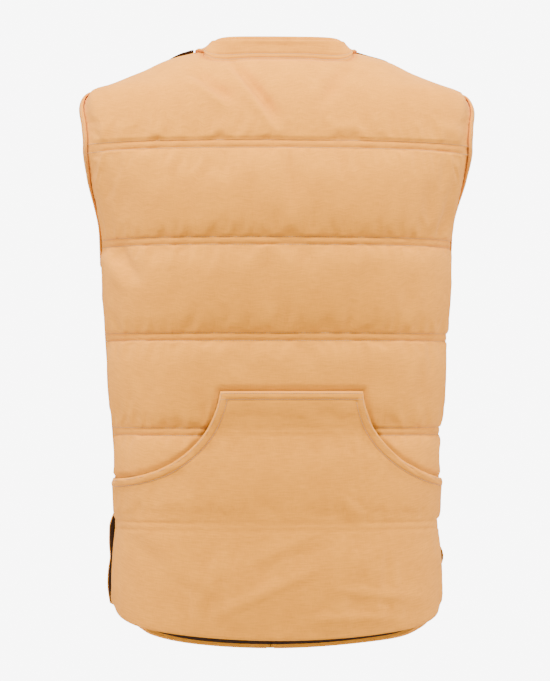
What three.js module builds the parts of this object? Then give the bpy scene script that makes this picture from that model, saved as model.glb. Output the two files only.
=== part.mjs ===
// Quilted duck-canvas work vest, kept in the shape it has when worn.
// Millimetres. X runs to the wearer's right, Y forward and Z up. The origin lies midway between the two
// neck points of the shoulder seams, where the vest sits on the shoulders.
import * as THREE from 'three';
import { mergeVertices } from 'three/addons/utils/BufferGeometryUtils.js';

const QUARTER = Math.PI / 2;
const RIGHT = 1;
const LEFT = -1;

// Body side of the padded wall, level by level from the hem up: half the width, before the armholes are
// cut out, and how far the centre of the back and of the front stands from the plane of the side seams.
const FORM = [
  { z: -700, halfWidth: 185, back: 119, front: 131 },
  { z: -610, halfWidth: 184, back: 116, front: 130 },
  { z: -533, halfWidth: 181, back: 112, front: 128 },
  { z: -474, halfWidth: 180, back: 108, front: 126 },
  { z: -419, halfWidth: 182, back: 105, front: 124 },
  { z: -364, halfWidth: 186, back: 105, front: 124 },
  { z: -314, halfWidth: 189, back: 108, front: 127 },
  { z: -255, halfWidth: 193, back: 113, front: 131 },
  { z: -209, halfWidth: 195, back: 117, front: 132 },
  { z: -187, halfWidth: 197, back: 118, front: 131 },
  { z: -159, halfWidth: 204, back: 118, front: 127 },
  { z: -132, halfWidth: 216, back: 116, front: 121 },
  { z: -104, halfWidth: 230, back: 112, front: 113 },
  { z: -77, halfWidth: 229, back: 106, front: 103 },
  { z: -54, halfWidth: 220, back: 98, front: 93 },
  { z: -44, halfWidth: 208, back: 93, front: 88 },
  { z: -38, halfWidth: 188, back: 90, front: 84 },
  { z: -24, halfWidth: 154, back: 81, front: 75 },
  { z: -10, halfWidth: 126, back: 72, front: 66 },
  { z: 0, halfWidth: 88, back: 66, front: 62 },
];
const FLATNESS = 0.25; // how much flatter than an ellipse each section is

// Armhole: an oval in side view, cut this far back and forward of the side seam. Its back edge runs
// forward to the side seam between the two turns, given from -1 at its top to 1 at its bottom.
const ARMHOLE = { top: -44, bottom: -229, back: 58, front: 68 };
const ARMHOLE_LEAN = { share: 0.92, from: -0.5, to: 0.45 };

// Quilting: level double rows of stitches, and the padded wall's thickness at and between them.
const QUILT = { top: -104, pitch: 105, lines: 5, rowGap: 8.4, roundness: 0.6 };
const WALL = { stitched: 5, strip: 5.8, padded: 11.5, edge: 5 };
const EDGE_FLAT = THREE.MathUtils.degToRad(4.5); // stitched-down margin along side, shoulder and armhole
const EDGE_FULL = THREE.MathUtils.degToRad(17); // the padding is full from here inwards

// Neck and centre front.
const NECK = { backDrop: 5, frontZ: -99.8, bend: 1.7 };
const ZIP_HALF_GAP = 4.6;

// Hem: level of the side corners, and for each side its drop at the centre line, the share of that drop
// which is a long bow, and how square the corners are.
const HEM_SIDE = -612;
const HEM = {
  back: { drop: 34, bow: 0.25, square: 9 },
  front: { drop: 69, bow: 0.4, square: 12 },
};
const VENT = { top: -508, full: -524, wide: -560, backSlit: 2.2, frontSlit: 1.4 };
const VENT_FLARE = { [LEFT]: 6, [RIGHT]: 2.5 };

// Soft dents that the worn vest keeps: from and to in X and Z on the back, half width and depth.
const BACK_DENTS = [
  { fromX: -62, fromZ: -12, toX: -8, toZ: -78, halfWidth: 15, depth: 2.6 },
  { fromX: 62, fromZ: -12, toX: 34, toZ: -62, halfWidth: 15, depth: 2.0 },
  { fromX: -176, fromZ: -222, toX: -150, toZ: -262, halfWidth: 16, depth: 3.0 },
  { fromX: 184, fromZ: -190, toX: 158, toZ: -226, halfWidth: 16, depth: 2.4 },
];
const POCKET_DENTS = [
  { fromX: -120, fromZ: -562, toX: -20, toZ: -596, halfWidth: 14, depth: 1.4 },
  { fromX: -70, fromZ: -622, toX: 30, toZ: -590, halfWidth: 13, depth: 1.4 },
  { fromX: 20, fromZ: -600, toX: 140, toZ: -618, halfWidth: 14, depth: 1.4 },
];

// Back pocket: its top edge, the round cut of each side mouth, and how it lies over the padding.
const POCKET = { top: -374, cloth: 1.6, hemmed: 2.6, hem: 9, sag: 0.55 };
const POCKET_MOUTH = { x: 212, z: -334, radius: 145 };

const COLLAR = { height: 27, outer: 3, facing: 1.8, proud: 4 };
const COLLAR_LEAN = { back: 12, side: 42, front: 10 }; // degrees the band leans in over the neck
const BINDING = { width: 5.6, round: 1.4, over: 1 };
const LINING = { cloth: 1.2, looseAbove: -300, loose: 1.6 };
const FACING = { height: 6, cloth: 1.2 };
const PATCH = { cloth: 1.4 };
const ZIP = { cloth: 4 };
const VENT_FACING = { cloth: 1.3 };

const GAP = 0.4; // air left between pieces that are sewn together
const LIE = 0.7; // air left between cloths that lie on each other
const SEAM = THREE.MathUtils.degToRad(0.16); // each panel stops this far short of a seam

const TAN = { color: '#d8a473', roughness: 0.92 };
const BROWN = { color: '#33200f', roughness: 0.95 };
const METAL = { color: '#4a3a26', roughness: 0.6 };

// Columns across the back and rows along the shoulder seam, shared so that neighbours meet edge to edge.
const bothSides = (shares) => [...shares.map((share) => -share).reverse(), 0, ...shares];
const EDGE_SHARE = 0.95; // the stitched-down margin begins at this column
const FRONT_EDGE_SHARE = 0.93;
const BACK_COLUMNS = bothSides([0.15, 0.3, 0.44, 0.58, 0.72, 0.85, EDGE_SHARE, 1]);
const LINING_COLUMNS = bothSides([0.3, 0.58, 0.85, 1]);
const FRONT_COLUMNS = [0, 0.07, 0.2, 0.4, 0.62, 0.82, FRONT_EDGE_SHARE, 1];
const FRONT_LINING_COLUMNS = [0, 0.2, 0.4, 0.62, 0.82, 1];
const POCKET_COLUMNS = bothSides([0.15, 0.27, 0.3, 0.36, 0.44, 0.5, 0.58, 0.72, 0.85, EDGE_SHARE, 1]);
const SEAM_SHARES = FRONT_COLUMNS.map((share) => 1 - share).reverse();
const YOKE_SHARES = [0, 0.125, 0.25, 0.375, 0.5, 0.625, 0.75, 0.875, 0.95, 1];
const YOKE_LEVELS = [-90, -74, -60, -51];
const HEM_SHARES = [1, 0.93, 0.65, 0.35, 0.1];
const POCKET_SHARES = [0.2, 0.42, 0.62, 0.8];
const ZIP_SHARES = [0.93, 0.35];

const { clamp, lerp, smoothstep } = THREE.MathUtils;
const quiltLines = Array.from({ length: QUILT.lines }, (unused, i) => QUILT.top - i * QUILT.pitch);
const lowestLine = quiltLines[QUILT.lines - 1];
const yokeStart = QUILT.top + QUILT.rowGap / 2;
const hemStart = lowestLine - QUILT.rowGap / 2;

const formCurves = {};
for (const column of ['halfWidth', 'back', 'front']) {
  const levels = FORM.map((row) => row.z);
  formCurves[column] = new THREE.CubicInterpolant(levels, FORM.map((row) => row[column]), 1);
}
const formAt = (column, z) => formCurves[column].evaluate(z)[0];

// Share of a section's depth at one angle from its centre line.
const sectionShare = (angle) => Math.cos(angle) * (1 + FLATNESS * Math.sin(angle) ** 2);

// Angle of a panel's side edge: a quarter turn at a seam, and less where the armhole is cut away.
function edgeAngle(side, z) {
  const middle = (ARMHOLE.top + ARMHOLE.bottom) / 2;
  const half = (ARMHOLE.top - ARMHOLE.bottom) / 2;
  const turn = (middle - z) / half;
  if (Math.abs(turn) >= 1) return QUARTER;
  const { share: leaned, from, to } = ARMHOLE_LEAN;
  const reach = side === 'back' ? ARMHOLE.back * (1 - leaned * smoothstep(turn, from, to)) : ARMHOLE.front;
  const share = reach * Math.sqrt(1 - turn ** 2) / formAt(side, z);
  let cosine = share;
  for (let pass = 0; pass < 10; pass++) cosine = (share + FLATNESS * cosine ** 3) / (1 + FLATNESS);
  return Math.acos(cosine);
}

// The front stands out a little beside the open vents, more on the left.
function ventFlare(side, angle, z) {
  if (side === 'back') return 0;
  const down = clamp((VENT.full - z) / (VENT.full - VENT.wide), 0, 1);
  return VENT_FLARE[angle < 0 ? LEFT : RIGHT] * down * smoothstep(Math.abs(angle), QUARTER / 2, QUARTER);
}

// A point on the body side of the wall and the way out from it. The angle is 0 on the centre line of
// the back or front and a quarter turn at the side and shoulder seams.
function skin(side, angle, z) {
  const facing = side === 'back' ? -1 : 1;
  const at = (a, level) => {
    const halfWidth = formAt('halfWidth', level) + ventFlare(side, angle, level);
    const depth = facing * formAt(side, level);
    return new THREE.Vector3(halfWidth * Math.sin(a), depth * sectionShare(a), level);
  };
  const across = at(angle + 0.01, z).sub(at(angle - 0.01, z));
  const up = at(angle, z + 1).sub(at(angle, z - 1));
  const out = across.cross(up).multiplyScalar(-facing).normalize();
  return { point: at(angle, z), out };
}

const angleAt = (x, z) => Math.asin(clamp(x / formAt('halfWidth', z), -1, 1));

const lifted = (side, angle, z, lift) => {
  const { point, out } = skin(side, angle, z);
  return point.addScaledVector(out, lift);
};

function hemAt(side, angle) {
  const { drop, bow, square } = HEM[side];
  const across = Math.abs(Math.sin(angle));
  return HEM_SIDE - drop * (1 - bow * across ** 2 - (1 - bow) * across ** square);
}

const neckAt = (angle) => -NECK.backDrop * Math.cos(angle) ** 2;

// Thickness of the padding at one level between the hem and the ceiling above it.
function padding(z, hem, ceiling) {
  const levels = [ceiling, ...quiltLines, hem];
  for (let i = 0; i < levels.length - 1; i++) {
    const high = i > 0 ? levels[i] - QUILT.rowGap / 2 : levels[i];
    const low = i < QUILT.lines ? levels[i + 1] + QUILT.rowGap / 2 : levels[i + 1];
    const share = (z - low) / (high - low);
    if (share > -1e-6 && share < 1 + 1e-6) {
      const fill = Math.pow(4 * clamp(share * (1 - share), 0, 1), QUILT.roundness);
      return lerp(WALL.stitched, WALL.padded, fill);
    }
  }
  return WALL.strip;
}

// Depth of the listed dents at one place.
function dentDepth(dents, x, z) {
  let depth = 0;
  for (const dent of dents) {
    const along = new THREE.Vector2(dent.toX - dent.fromX, dent.toZ - dent.fromZ);
    const here = new THREE.Vector2(x - dent.fromX, z - dent.fromZ);
    const share = here.dot(along) / along.lengthSq();
    const away = Math.abs(here.cross(along)) / along.length();
    const ends = smoothstep(share, -0.25, 0.2) * (1 - smoothstep(share, 0.8, 1.25));
    depth += dent.depth * ends * Math.exp(-((away / dent.halfWidth) ** 2));
  }
  return depth;
}

// 0 on the stitched-down margin of the back's side edges, 1 where the padding is full.
function awayFromEdge(angle, z) {
  const edge = edgeAngle('back', z);
  return 1 - smoothstep(Math.abs(angle), edge - EDGE_FULL, edge - EDGE_FLAT);
}

// Outer face of the back: padded between the stitches, flat along its seamed edges.
function backHeight(angle, z) {
  const full = awayFromEdge(angle, z);
  const { x } = skin('back', angle, z).point;
  const puffed = padding(z, hemAt('back', angle), neckAt(angle)) - dentDepth(BACK_DENTS, x, z);
  return lerp(WALL.edge, Math.max(puffed, WALL.stitched), full);
}

// Rows

// A row of a panel is a level, or a share of the way to the hem or to the neck and shoulder.
function bodyRows() {
  const rows = HEM_SHARES.map((hem) => ({ hem }));
  rows.push({ z: hemStart });
  for (let i = QUILT.lines - 1; i >= 0; i--) {
    const line = quiltLines[i];
    rows.push({ z: line });
    if (i === 0) break;
    const low = line + QUILT.rowGap / 2;
    const high = line + QUILT.pitch - QUILT.rowGap / 2;
    const atArmhole = low < ARMHOLE.bottom && high > ARMHOLE.bottom;
    rows.push({ z: low }, { z: lerp(low, high, 0.12) }, { z: (low + high) / 2 });
    if (atArmhole) rows.push({ z: ARMHOLE.bottom }, { z: (ARMHOLE.bottom + high) / 2 });
    else rows.push({ z: lerp(low, high, 0.88) });
    rows.push({ z: high });
  }
  return rows;
}

function backRows() {
  const rows = bodyRows();
  for (const z of [yokeStart, ...YOKE_LEVELS]) rows.push({ yoke: 1 - z / yokeStart });
  for (const share of SEAM_SHARES) rows.push({ yoke: 1 - ARMHOLE.top * (1 - share) / yokeStart });
  return rows;
}

function frontRows() {
  return [...bodyRows(), ...YOKE_SHARES.map((yoke) => ({ yoke }))];
}

const rowLevel = (side, row, angle) =>
  'hem' in row ? lerp(hemStart, hemAt(side, angle), row.hem) : row.z;

// Where a back row is at one share of the way from the centre line to the side edge.
function backPlace(share, row) {
  const trial = share * QUARTER;
  const level = (angle) =>
    'yoke' in row ? lerp(yokeStart, neckAt(angle), row.yoke) : rowLevel('back', row, angle);
  const z = level(trial);
  const slit = VENT.backSlit * (1 - smoothstep(z, VENT.full, VENT.top)) / formAt('back', z);
  const angle = share * (edgeAngle('back', z) - SEAM - slit);
  return { angle, z: level(angle) };
}

// Where a front row is at one share of the way from the zip or neckline to the side or shoulder.
function frontPlace(share, row) {
  const inYoke = 'yoke' in row;
  const rise = inYoke ? row.yoke : 0;
  const sweep = QUARTER * (1 - Math.pow(1 - rise, NECK.bend));
  const innerX = lerp(ZIP_HALF_GAP, formAt('halfWidth', 0), Math.sin(sweep));
  const innerZ = inYoke ? NECK.frontZ * Math.cos(sweep) : rowLevel('front', row, 0);
  const outerZ = inYoke ? lerp(yokeStart, ARMHOLE.top, rise) : rowLevel('front', row, QUARTER);
  const slit = VENT.frontSlit * (1 - smoothstep(outerZ, VENT.full, VENT.top)) / formAt('front', outerZ);
  const inner = Math.min(angleAt(innerX, innerZ), QUARTER - SEAM);
  const angle = lerp(inner, edgeAngle('front', outerZ) - SEAM - slit, share);
  return { angle, z: inYoke ? lerp(innerZ, outerZ, share) : rowLevel('front', row, angle) };
}

// Outer face of a front: padded as the back is, flat along the zip, neckline, side and shoulder.
function frontHeight(share, row) {
  const { angle, z } = frontPlace(share, row);
  const across = smoothstep(share, 0.06, 0.22) * (1 - smoothstep(share, 0.82, FRONT_EDGE_SHARE));
  const rise = 'yoke' in row ? row.yoke : 0;
  const puffed = 'yoke' in row
    ? lerp(WALL.stitched, WALL.padded, Math.pow(4 * rise * (1 - rise), QUILT.roundness))
    : padding(z, hemAt('front', angle), yokeStart);
  return lerp(WALL.edge, puffed, across);
}

// Solids

function closed(geometry) {
  geometry.deleteAttribute('normal');
  geometry.deleteAttribute('uv');
  return mergeVertices(geometry, 1e-4);
}

// Turns faces round, for a piece placed as the mirror image of its box.
function turnFaces(index) {
  for (let i = 0; i < index.count; i += 3) {
    const second = index.getX(i + 1);
    index.setX(i + 1, index.getX(i + 2));
    index.setX(i + 2, second);
  }
}

// Cuts the squares of the body side along the same diagonal as those of the outside, so that two
// cloths that share columns and rows stay parallel.
function alignDiagonals(geometry) {
  const bodySide = geometry.groups[geometry.groups.length - 1];
  const index = geometry.index;
  for (let i = bodySide.start; i < bodySide.start + bodySide.count; i += 6) {
    const [a, b, c, d] = [0, 1, 4, 5].map((corner) => index.getX(i + corner));
    [a, b, c, a, c, d].forEach((vertex, corner) => index.setX(i + corner, vertex));
  }
}

// A cloth wall: a box cut into columns and rows, each corner sent to its place; outer is 0 on the
// body side and 1 on the outside.
function clothWall(columns, rows, place, mirrored = false) {
  const geometry = new THREE.BoxGeometry(1, 1, 1, columns.length - 1, rows.length - 1, 1);
  alignDiagonals(geometry);
  if (mirrored) turnFaces(geometry.index);
  const position = geometry.attributes.position;
  for (let i = 0; i < position.count; i++) {
    const column = Math.round((position.getX(i) + 0.5) * (columns.length - 1));
    const row = Math.round((position.getY(i) + 0.5) * (rows.length - 1));
    const outer = position.getZ(i) > 0 ? 1 : 0;
    position.setXYZ(i, ...place(columns[column], rows[row], outer));
  }
  return closed(geometry);
}

// A closed ring with one outline of corners at every station.
function ring(stations, corners, place) {
  const geometry = new THREE.TorusGeometry(2, 1, corners.length, stations.length);
  const { position, uv } = geometry.attributes;
  for (let i = 0; i < position.count; i++) {
    const station = Math.round(uv.getX(i) * stations.length) % stations.length;
    const corner = Math.round(uv.getY(i) * corners.length) % corners.length;
    position.setXYZ(i, ...place(stations[station], corners[corner]));
  }
  return closed(geometry);
}

const vest = new THREE.Group();
vest.name = 'vest';

function add(name, geometry, finish) {
  const mesh = new THREE.Mesh(geometry, new THREE.MeshStandardMaterial(finish));
  mesh.name = name;
  vest.add(mesh);
}

// A front piece is made for the right and mirrored through the angle for the left.
const frontSides = [{ name: 'left', hand: LEFT }, { name: 'right', hand: RIGHT }];

function frontWall(hand, columns, rows, heights, cut = (share) => share) {
  return clothWall([...columns].reverse(), rows, (share, row, outer) => {
    const { angle, z } = frontPlace(cut(share, row), row);
    return lifted('front', hand * angle, z, heights(share, row, outer));
  }, hand === LEFT);
}

// Padded panels

add('back_panel', clothWall(BACK_COLUMNS, backRows(), (share, row, outer) => {
  const { angle, z } = backPlace(share, row);
  return lifted('back', angle, z, outer * backHeight(angle, z));
}), TAN);

for (const { name, hand } of frontSides) {
  const panel = (share, row, outer) => outer * frontHeight(share, row);
  add(`front_panel_${name}`, frontWall(hand, FRONT_COLUMNS, frontRows(), panel), TAN);
}

// Lining: thin dark cloth on the body side, ending short of the armholes, the neck and the hem facing.

const besideArmhole = (row) => 'yoke' in row || row.z > ARMHOLE.bottom - 1;

function liningRows(rows) {
  const above = { hem: 1 - (FACING.height + 6 * GAP) / (hemStart - HEM_SIDE) };
  const middles = quiltLines.map((line) => line + QUILT.pitch / 2);
  const levels = [...quiltLines, ...middles];
  const keeps = (row) => {
    if ('yoke' in row) return row.yoke < 0.96;
    if ('hem' in row) return row.hem > 0.3 && row.hem < 0.8;
    return besideArmhole(row) || levels.some((z) => Math.abs(row.z - z) < 1e-6);
  };
  return [above, ...rows.filter(keeps)];
}

// The lining lies close below and hangs a little loose round the armholes.
function liningLift(z, outer) {
  const loose = LINING.loose * smoothstep(z, LINING.looseAbove, ARMHOLE.bottom);
  return -LIE - loose - (1 - outer) * LINING.cloth;
}

const cutBack = (edge) => (share, row) => besideArmhole(row) ? clamp(share, -edge, edge) : share;

add('back_lining', clothWall(LINING_COLUMNS, liningRows(backRows()), (share, row, outer) => {
  const { angle, z } = backPlace(cutBack(EDGE_SHARE)(share, row), row);
  return lifted('back', angle, z, liningLift(z, outer));
}), BROWN);

for (const { name, hand } of frontSides) {
  const lining = (share, row, outer) => liningLift(frontPlace(share, row).z, outer);
  const cut = cutBack(FRONT_EDGE_SHARE);
  const wall = frontWall(hand, FRONT_LINING_COLUMNS, liningRows(frontRows()), lining, cut);
  add(`front_lining_${name}`, wall, BROWN);
}

// Hem facing: a tan strip turned up inside the hem, below the lining.

const facingRows = [{ hem: 0.99 }, { hem: 0.99 - FACING.height / (hemStart - HEM_SIDE) }];
const facingLift = (outer) => -GAP - (1 - outer) * FACING.cloth;

add('hem_facing_back', clothWall(BACK_COLUMNS, facingRows, (share, row, outer) => {
  const { angle, z } = backPlace(share, row);
  return lifted('back', angle, z, facingLift(outer));
}), TAN);

for (const { name, hand } of frontSides) {
  const facing = (share, row, outer) => facingLift(outer);
  add(`hem_facing_front_${name}`, frontWall(hand, FRONT_COLUMNS, facingRows, facing), TAN);
}

// Collar: stations from the left end of the neckline round the back to the right end.

function neckStations() {
  const front = YOKE_SHARES.slice(0, -1).map((yoke) => ({ side: 'front', ...frontPlace(0, { yoke }) }));
  const left = front.map((station) => ({ ...station, angle: -station.angle }));
  const back = BACK_COLUMNS.map((share) => ({ side: 'back', ...backPlace(share, { yoke: 1 }) }));
  return [...left, ...back, ...front.reverse()];
}

// How the band leans in over the neck: least behind and in front, most over the shoulders.
function collarRise({ side, angle }) {
  const sideways = Math.abs(Math.sin(angle)) ** 2;
  const lean = THREE.MathUtils.degToRad(lerp(COLLAR_LEAN[side], COLLAR_LEAN.side, sideways));
  const inward = side === 'back' ? Math.cos(angle) : -Math.cos(angle);
  const flat = new THREE.Vector3(-Math.sin(angle), inward, 0);
  return flat.multiplyScalar(Math.sin(lean)).setZ(Math.cos(lean));
}

// A point of the collar: up the band from the neck seam, and out from its body side.
function collarPoint(station, up, out) {
  const seam = skin(station.side, station.angle, station.z);
  const rise = collarRise(station);
  const level = new THREE.Vector3(-rise.x, -rise.y, 0).normalize();
  const upright = level.multiplyScalar(rise.z).setZ(Math.hypot(rise.x, rise.y));
  const thick = seam.out.lerp(upright, smoothstep(up, 0, 9)).normalize();
  return seam.point.addScaledVector(rise, up).addScaledVector(thick, out);
}

const bandRows = [LIE, COLLAR.height / 3, COLLAR.height - COLLAR.proud];
const outerLow = COLLAR.facing + GAP;

add('collar', clothWall(neckStations(), bandRows, (station, up, outer) =>
  collarPoint(station, up, outerLow + outer * COLLAR.outer)), TAN);
add('collar_facing', clothWall(neckStations(), [...bandRows, COLLAR.height], (station, up, outer) =>
  collarPoint(station, up, outer * COLLAR.facing)), TAN);

// Armhole binding: a folded strip sewn along the panel edges, a little thicker than they are.

function armholeStations(hand) {
  const inRange = ({ z }) => z >= ARMHOLE.bottom - 1e-6 && z <= ARMHOLE.top + 1e-6;
  const back = backRows().map((row) => backPlace(1, row)).filter(inRange);
  const front = frontRows().map((row) => frontPlace(1, row)).filter(inRange);
  const loop = [...back.map((place) => ({ side: 'back', ...place })),
    ...front.reverse().slice(1, -1).map((place) => ({ side: 'front', ...place }))];
  return loop.map(({ side, angle, z }) => skin(side, hand * (angle + SEAM), z));
}

const bindingTop = WALL.edge + BINDING.over;
const bindingCorners = [
  { along: LIE, up: bindingTop },
  { along: BINDING.width - BINDING.round, up: bindingTop },
  { along: BINDING.width, up: WALL.edge / 2 },
  { along: BINDING.width - BINDING.round, up: -BINDING.over },
  { along: LIE, up: -BINDING.over },
];

function bindingRing(hand) {
  const loop = armholeStations(hand);
  const stations = loop.map(({ point, out }, i) => {
    const next = loop[(i + 1) % loop.length].point;
    const before = loop[(i + loop.length - 1) % loop.length].point;
    const along = next.clone().sub(before).cross(out).multiplyScalar(hand).normalize();
    return { point, out, along };
  });
  const ordered = hand === LEFT ? stations : stations.reverse();
  return ring(ordered, bindingCorners, ({ point, out, along }, corner) =>
    point.clone().addScaledVector(along, corner.along).addScaledVector(out, corner.up));
}

for (const { name, hand } of frontSides) add(`armhole_binding_${name}`, bindingRing(hand), TAN);

// Back pocket: one cloth over the lower back, sewn at its top edge, sides and hem.

const pocketStart = lowestLine + QUILT.rowGap / 2;

// Level of the pocket's upper edge: straight in the middle, a round cut down each side.
function pocketTop(x) {
  const across = Math.abs(Math.abs(x) - POCKET_MOUTH.x);
  if (across > POCKET_MOUTH.radius) return POCKET.top;
  const cut = POCKET_MOUTH.z - Math.sqrt(POCKET_MOUTH.radius ** 2 - across ** 2);
  return Math.min(POCKET.top, cut);
}

function pocketRows() {
  const below = backRows().filter((row) => 'hem' in row || row.z < pocketStart + 1);
  const above = POCKET_SHARES.map((rise) => ({ rise }));
  return [...below, ...above, { rise: 1, under: POCKET.hem }, { rise: 1, under: 0 }];
}

function pocketPlace(share, row) {
  if (!('rise' in row)) return backPlace(share, row);
  const { angle } = backPlace(share, { z: pocketStart });
  const { x } = skin('back', angle, pocketStart).point;
  return { angle, z: lerp(pocketStart, pocketTop(x) - (row.under ?? POCKET.hem), row.rise) };
}

function pocketLift(share, row, outer) {
  const { angle, z } = pocketPlace(share, row);
  const padded = backHeight(angle, z);
  const full = awayFromEdge(angle, z);
  const bridged = lerp(padded, lerp(WALL.edge, WALL.padded, full), POCKET.sag);
  const { x } = skin('back', angle, z).point;
  const dent = dentDepth(POCKET_DENTS, x, z) * full;
  const inner = Math.max(padded, bridged - dent) + LIE;
  return inner + outer * ('under' in row ? POCKET.hemmed : POCKET.cloth);
}

add('back_pocket', clothWall(POCKET_COLUMNS, pocketRows(), (share, row, outer) => {
  const { angle, z } = pocketPlace(share, row);
  return lifted('back', angle, z, pocketLift(share, row, outer));
}), TAN);

// Shoulder patches: dark cloth laid over the upper fronts, inside the neck seam and armhole binding.

const patchColumns = FRONT_COLUMNS.slice(1, -2);
const patchRows = YOKE_SHARES.slice(1, -1).map((yoke) => ({ yoke }));

for (const { name, hand } of frontSides) {
  const patch = (share, row, outer) => frontHeight(share, row) + LIE + outer * PATCH.cloth;
  add(`shoulder_patch_${name}`, frontWall(hand, patchColumns, patchRows, patch), BROWN);
}

// Vent facings: a dark strip over the cut edge of each front beside the side vent.

const ventRows = [...HEM_SHARES.map((hem) => ({ hem })), { z: hemStart }];

for (const { name, hand } of frontSides) {
  add(`vent_facing_${name}`, clothWall([1, 0], ventRows, (depth, row, outer) => {
    const { angle, z } = frontPlace(1, row);
    const { point, out } = skin('front', hand * angle, z);
    point.addScaledVector(out, outer * WALL.edge);
    point.y -= GAP + depth * VENT_FACING.cloth;
    return point;
  }, hand === LEFT), BROWN);
}

// Front zip: one plain strip that fills the slot between the fronts.

const zipRows = frontRows().filter(({ hem, z }) => ZIP_SHARES.includes(hem) || quiltLines.includes(z));

add('front_zip', clothWall([1, -1], zipRows, (share, row, outer) => {
  const { z } = frontPlace(0, row);
  const middle = skin('front', 0, z).point;
  middle.x = share * (ZIP_HALF_GAP - GAP);
  middle.y += lerp(0, ZIP.cloth, outer);
  return middle;
}), METAL);

export default vest;
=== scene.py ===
import math

import bmesh
import bpy
import numpy as np
from mathutils import Matrix, Vector, noise


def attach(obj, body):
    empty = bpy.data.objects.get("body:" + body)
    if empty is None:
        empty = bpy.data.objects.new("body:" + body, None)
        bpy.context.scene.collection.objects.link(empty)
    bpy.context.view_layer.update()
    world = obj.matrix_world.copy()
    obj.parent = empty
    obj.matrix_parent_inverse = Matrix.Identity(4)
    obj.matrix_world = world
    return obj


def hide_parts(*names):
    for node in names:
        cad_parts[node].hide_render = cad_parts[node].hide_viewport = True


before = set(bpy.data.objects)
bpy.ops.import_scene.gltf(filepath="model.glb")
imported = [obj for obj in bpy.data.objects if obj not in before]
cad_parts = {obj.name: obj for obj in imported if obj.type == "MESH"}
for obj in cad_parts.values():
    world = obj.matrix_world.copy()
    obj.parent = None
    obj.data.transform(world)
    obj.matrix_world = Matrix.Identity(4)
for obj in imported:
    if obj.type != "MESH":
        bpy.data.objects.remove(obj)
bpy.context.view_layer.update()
scene = bpy.context.scene

# Back panel: the padded back of the vest. Tan cotton duck lies over wadding and is quilted through in
# level double rows. The duck is cut a little larger than the wadding, so it puffs between the rows and
# puckers along them. Its neck, armhole, side and hem edges are stitched down flat.

MM = 0.001
QUARTER = math.pi / 2
LEFT, RIGHT = -1, 1
LEVEL, HALF_WIDTH, BACK, FRONT = range(4)

# Level, half the width before the armholes are cut, depth of the back and of the front.
body_form = MM * np.array([
    (-700, 180, 119, 131),
    (-610, 179.5, 116, 130),
    (-533, 177, 112, 128),
    (-474, 177, 108, 126),
    (-419, 180.5, 105, 124),
    (-364, 185, 105, 124),
    (-314, 188.5, 108, 127),
    (-255, 191.5, 113, 131),
    (-209, 193, 117, 132),
    (-187, 194.5, 118, 131),
    (-159, 201.5, 118, 127),
    (-132, 213.5, 116, 121),
    (-104, 228, 112, 113),
    (-77, 227, 106, 103),
    (-54, 220, 98, 93),
    (-44, 208, 93, 88),
    (-38, 188, 90, 84),
    (-24, 154, 81, 75),
    (-10, 126, 72, 66),
    (0, 88, 66, 62),
])
flatness = 0.25
armhole_top, armhole_bottom = -44 * MM, -229 * MM
armhole_reach = {BACK: 58 * MM, FRONT: 68 * MM}
armhole_lean = {BACK: 0.92, FRONT: 0}
first_row, row_pitch, row_gap = -104, 105, 8.4 * MM
quilt_lines = MM * (first_row - row_pitch * np.arange(5))
yoke_start = quilt_lines[0] + row_gap / 2
hem_start = quilt_lines[-1] - row_gap / 2
hem_side = {BACK: -612 * MM, FRONT: -630 * MM}
hem_drop = {BACK: 35 * MM, FRONT: 51.5 * MM}
hem_bow, hem_askew = 0.45, {BACK: 0, FRONT: 0.04}
hem_corner = {BACK: (13, 13), FRONT: (6.3, 14)}
hem_tuck = {BACK: 0, FRONT: 13 * MM}
vent_top, vent_full, vent_wide = -504 * MM, -520 * MM, -530 * MM
vent_slit = {BACK: 2.2 * MM, FRONT: 1.4 * MM}
vent_flare = {LEFT: 7 * MM, RIGHT: 2.5 * MM}
stitched, padded, edge_thick = 6 * MM, 10.8 * MM, 5 * MM
hem_roll, panel_wall = 2.6 * MM, 4.6 * MM
neck_drop, neck_stand = 9 * MM, {BACK: 3 * MM, FRONT: 5.5 * MM}
seam = math.radians(0.06)


def smooth(value, low, high):
    share = np.clip((value - low) / (high - low), 0, 1)
    return share * share * (3 - 2 * share)


def mix(first, second, share):
    return first + (second - first) * share


def form_at(column, z):
    """One column of the body form at any level, on a smooth curve through its rows."""
    level, value = body_form[:, LEVEL], body_form[:, column]
    chord = np.diff(value) / np.diff(level)
    slope = np.concatenate([chord[:1], (chord[1:] + chord[:-1]) / 2, chord[-1:]])
    i = np.clip(np.searchsorted(level, z) - 1, 0, len(level) - 2)
    step = level[i + 1] - level[i]
    p = (z - level[i]) / step
    low = (1 + 2 * p) * (1 - p) ** 2 * value[i] + p * (1 - p) ** 2 * step * slope[i]
    return low + p * p * (3 - 2 * p) * value[i + 1] - p * p * (1 - p) * step * slope[i + 1]


def edge_angle(side, z):
    """Where a panel ends: a quarter turn at a seam, less where the armhole is cut away."""
    middle, half = (armhole_top + armhole_bottom) / 2, (armhole_top - armhole_bottom) / 2
    turn = np.clip((middle - z) / half, -1, 1)
    reach = armhole_reach[side] * (1 - armhole_lean[side] * smooth(turn, -0.5, 0.45))
    share = reach * np.sqrt(1 - turn**2) / form_at(side, z)
    cosine = share
    for step in range(10):
        cosine = (share + flatness * cosine**3) / (1 + flatness)
    return np.arccos(cosine)


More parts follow.
